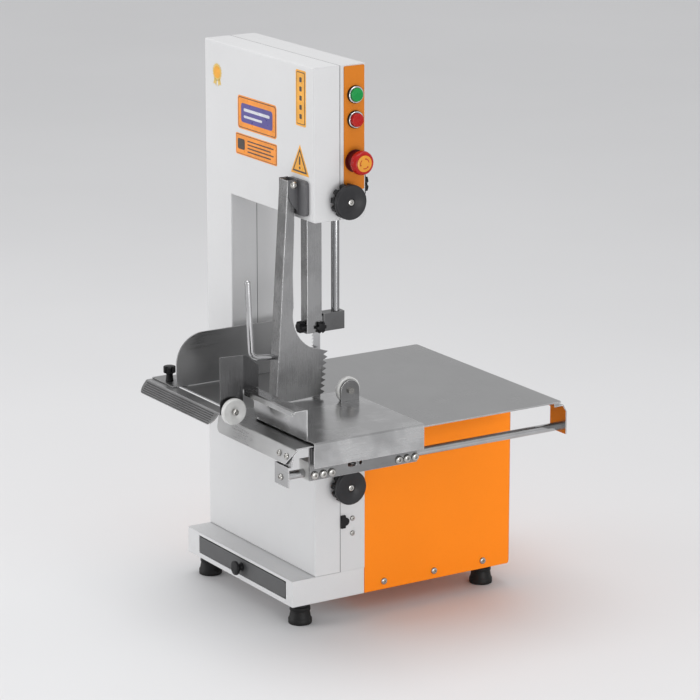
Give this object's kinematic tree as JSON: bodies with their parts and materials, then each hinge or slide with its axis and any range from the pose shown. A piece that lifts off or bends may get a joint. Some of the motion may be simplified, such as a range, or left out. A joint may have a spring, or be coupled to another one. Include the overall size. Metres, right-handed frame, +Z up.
{
  "type": "bone saw",
  "caption": "Bench-top butcher's band saw with sliding table, hanging toothed pusher arm, thickness fence, hinged doors, adjustable blade guard and scrap drawer",
  "frame": {"origin": "middle of the overall footprint, on the bench under the feet", "axes": "+X to the operator's right along the table, +Y away from the operator in the feed direction, +Z up"},
  "size_m": [0.5444, 0.5942, 0.938],
  "materials": {
    "base_plinth": "white powder coat",
    "rubber_feet": "moulded rubber",
    "drawer_tray": "dark grey powder coat",
    "drawer_knob": "moulded",
    "main_frame": "white powder coat",
    "hinge_pins": "ground",
    "upper_door": "white powder coat",
    "lower_door": "white powder coat",
    "motor_cabinet": "orange powder coat",
    "motor_housing": "painted casting",
    "motor_fan_cowl": "pressed sheet",
    "mains_gland": "moulded",
    "lower_wheel": "turned casting",
    "upper_wheel": "turned casting",
    "motor_shaft": "turned",
    "upper_wheel_bearings": "ground",
    "upper_axle": "turned",
    "tension_carriage": "milled",
    "tension_bracket": "powder coat",
    "tension_screw": "turned",
    "saw_blade": "rolled strip",
    "lower_blade_guide": "milled",
    "blade_scrapers": "white plastic",
    "post_guide_bush": "milled",
    "guide_rod": "hard chromed",
    "guide_block": "milled",
    "guide_inserts": "milled",
    "blade_guard": "brushed sheet",
    "front_star_knob": "moulded",
    "side_star_knob": "moulded",
    "guide_clamp_knob": "moulded",
    "table_top": "brushed stainless sheet",
    "table_supports": "white powder coat",
    "rail_rod": "hard chromed",
    "rail_brackets": "stainless sheet",
    "sliding_table": "polished stainless sheet",
    "hand_guard": "stainless sheet",
    "front_roller": "white nylon",
    "rear_roller": "white nylon",
    "roller_bracket": "stainless sheet",
    "slider_bar": "stainless flat bar",
    "slider_bushes": "white nylon",
    "slider_fasteners": "zinc plated",
    "fence_plate": "brushed stainless sheet",
    "fence_knob": "moulded",
    "pusher_arm": "brushed stainless sheet",
    "pusher_handle": "polished rod",
    "arm_bracket": "dark powder coat",
    "pivot_bolt": "zinc plated",
    "control_panel": "orange powder coat",
    "button_bezels": "moulded",
    "start_button": "green",
    "stop_button": "red",
    "estop_collar": "yellow",
    "estop_stem": "moulded",
    "estop_head": "red",
    "upper_lock_knob": "moulded",
    "lower_lock_knob": "moulded",
    "interlock_switch": "moulded",
    "frame_fasteners": "zinc plated"
  },
  "bodies": {
    "machine": {"base_plinth": "base_plinth", "rubber_feet": "rubber_feet", "main_frame": "main_frame", "hinge_pins": "hinge_pins", "motor_cabinet": "motor_cabinet", "motor_housing": "motor_housing", "motor_fan_cowl": "motor_fan_cowl", "mains_gland": "mains_gland", "tension_bracket": "tension_bracket", "saw_blade": "saw_blade", "lower_blade_guide": "lower_blade_guide", "blade_scrapers": "blade_scrapers", "post_guide_bush": "post_guide_bush", "table_top": "table_top", "table_supports": "table_supports", "rail_rod": "rail_rod", "rail_brackets": "rail_brackets", "control_panel": "control_panel", "button_bezels": "button_bezels", "estop_collar": "estop_collar", "interlock_switch": "interlock_switch", "frame_fasteners": "frame_fasteners"},
    "upper_door_leaf": {"upper_door": "upper_door", "arm_bracket": "arm_bracket", "pivot_bolt": "pivot_bolt"},
    "lower_door_leaf": {"lower_door": "lower_door"},
    "pusher": {"pusher_arm": "pusher_arm", "pusher_handle": "pusher_handle"},
    "drive": {"motor_shaft": "motor_shaft", "lower_wheel": "lower_wheel"},
    "tension_slide": {"tension_carriage": "tension_carriage", "upper_axle": "upper_axle"},
    "idler": {"upper_wheel": "upper_wheel", "upper_wheel_bearings": "upper_wheel_bearings"},
    "tension_handscrew": {"tension_screw": "tension_screw"},
    "guide_post": {"guide_rod": "guide_rod", "guide_block": "guide_block", "guide_inserts": "guide_inserts", "blade_guard": "blade_guard"},
    "front_star": {"front_star_knob": "front_star_knob"},
    "side_star": {"side_star_knob": "side_star_knob"},
    "post_clamp": {"guide_clamp_knob": "guide_clamp_knob"},
    "slider": {"sliding_table": "sliding_table", "hand_guard": "hand_guard", "roller_bracket": "roller_bracket", "slider_bar": "slider_bar", "slider_bushes": "slider_bushes", "slider_fasteners": "slider_fasteners"},
    "roller_front": {"front_roller": "front_roller"},
    "roller_rear": {"rear_roller": "rear_roller"},
    "fence": {"fence_plate": "fence_plate"},
    "fence_clamp": {"fence_knob": "fence_knob"},
    "drawer": {"drawer_tray": "drawer_tray", "drawer_knob": "drawer_knob"},
    "start": {"start_button": "start_button"},
    "stop": {"stop_button": "stop_button"},
    "estop": {"estop_head": "estop_head", "estop_stem": "estop_stem"},
    "upper_lock": {"upper_lock_knob": "upper_lock_knob"},
    "lower_lock": {"lower_lock_knob": "lower_lock_knob"}
  },
  "joints": [
    {"name": "upper_door_hinge", "type": "hinge", "parent": "machine", "child": "upper_door_leaf", "pos_m": [-0.2672, -0.068, 0.658], "axis": [0, 0, 1], "range_deg": [-105, 0]},
    {"name": "lower_door_hinge", "type": "hinge", "parent": "machine", "child": "lower_door_leaf", "pos_m": [-0.2672, -0.068, 0.208], "axis": [0, 0, 1], "range_deg": [-105, 0]},
    {"name": "pusher_pivot", "type": "hinge", "parent": "upper_door_leaf", "child": "pusher", "pos_m": [0.0322, -0.131, 0.7427], "axis": [1, 0, 0], "range_deg": [-60, 4]},
    {"name": "drive_turn", "type": "hinge", "parent": "machine", "child": "drive", "pos_m": [-0.0892, -0.0773, 0.214], "axis": [0, 1, 0], "continuous": true},
    {"name": "tension_travel", "type": "slide", "parent": "machine", "child": "tension_slide", "axis": [0, 0, 1], "range_m": [-0.002, 0]},
    {"name": "idler_turn", "type": "hinge", "parent": "tension_slide", "child": "idler", "pos_m": [-0.0892, -0.0773, 0.806], "axis": [0, 1, 0], "continuous": true},
    {"name": "tension_screw_turn", "type": "hinge", "parent": "machine", "child": "tension_handscrew", "pos_m": [-0.0892, -0.0423, 0.738], "axis": [0, 0, 1], "range_deg": [-480, 0]},
    {"name": "guide_post_travel", "type": "slide", "parent": "machine", "child": "guide_post", "axis": [0, 0, 1], "range_m": [-0.085, 0.09]},
    {"name": "front_star_turn", "type": "hinge", "parent": "guide_post", "child": "front_star", "pos_m": [0.0277, -0.1073, 0.498], "axis": [0, 1, 0], "continuous": true},
    {"name": "side_star_turn", "type": "hinge", "parent": "guide_post", "child": "side_star", "pos_m": [0.0402, -0.0746, 0.4955], "axis": [1, 0, 0], "continuous": true},
    {"name": "post_clamp_turn", "type": "hinge", "parent": "machine", "child": "post_clamp", "pos_m": [0.0267, -0.0013, 0.728], "axis": [0, 1, 0], "continuous": true},
    {"name": "slider_travel", "type": "slide", "parent": "machine", "child": "slider", "axis": [0, 1, 0], "range_m": [-0.028, 0.25]},
    {"name": "front_roller_turn", "type": "hinge", "parent": "slider", "child": "roller_front", "pos_m": [0.0969, -0.2753, 0.3961], "axis": [1, 0, 0], "continuous": true},
    {"name": "rear_roller_turn", "type": "hinge", "parent": "slider", "child": "roller_rear", "pos_m": [0.0827, -0.0503, 0.3961], "axis": [1, 0, 0], "continuous": true},
    {"name": "fence_travel", "type": "slide", "parent": "machine", "child": "fence", "axis": [1, 0, 0], "range_m": [-0.018, 0.14]},
    {"name": "fence_knob_turn", "type": "hinge", "parent": "fence", "child": "fence_clamp", "pos_m": [-0.1824, -0.2378, 0.388], "axis": [0, 0, 1], "continuous": true},
    {"name": "drawer_travel", "type": "slide", "parent": "machine", "child": "drawer", "axis": [0, -1, 0], "range_m": [0, 0.11]},
    {"name": "start_press", "type": "slide", "parent": "machine", "child": "start", "axis": [-1, 0, 0], "range_m": [0, 0.0018], "stiffness_N_per_m": 400},
    {"name": "stop_press", "type": "slide", "parent": "machine", "child": "stop", "axis": [-1, 0, 0], "range_m": [0, 0.0018], "stiffness_N_per_m": 400},
    {"name": "estop_press", "type": "slide", "parent": "machine", "child": "estop", "axis": [-1, 0, 0], "range_m": [0, 0.004]},
    {"name": "upper_lock_turn", "type": "hinge", "parent": "machine", "child": "upper_lock", "pos_m": [0.0972, -0.0603, 0.717], "axis": [1, 0, 0], "range_deg": [0, 90]},
    {"name": "lower_lock_turn", "type": "hinge", "parent": "machine", "child": "lower_lock", "pos_m": [0.0972, -0.0603, 0.235], "axis": [1, 0, 0], "range_deg": [0, 90]}
  ],
  "couplings": [
    {"joint": "idler_turn", "follows": "drive_turn", "ratio": 1},
    {"joint": "tension_screw_turn", "follows": "tension_travel", "rad_per_m": 4188.8},
    {"joint": "front_roller_turn", "follows": "slider_travel", "rad_per_m": -45.87},
    {"joint": "rear_roller_turn", "follows": "slider_travel", "rad_per_m": -45.87}
  ]
}
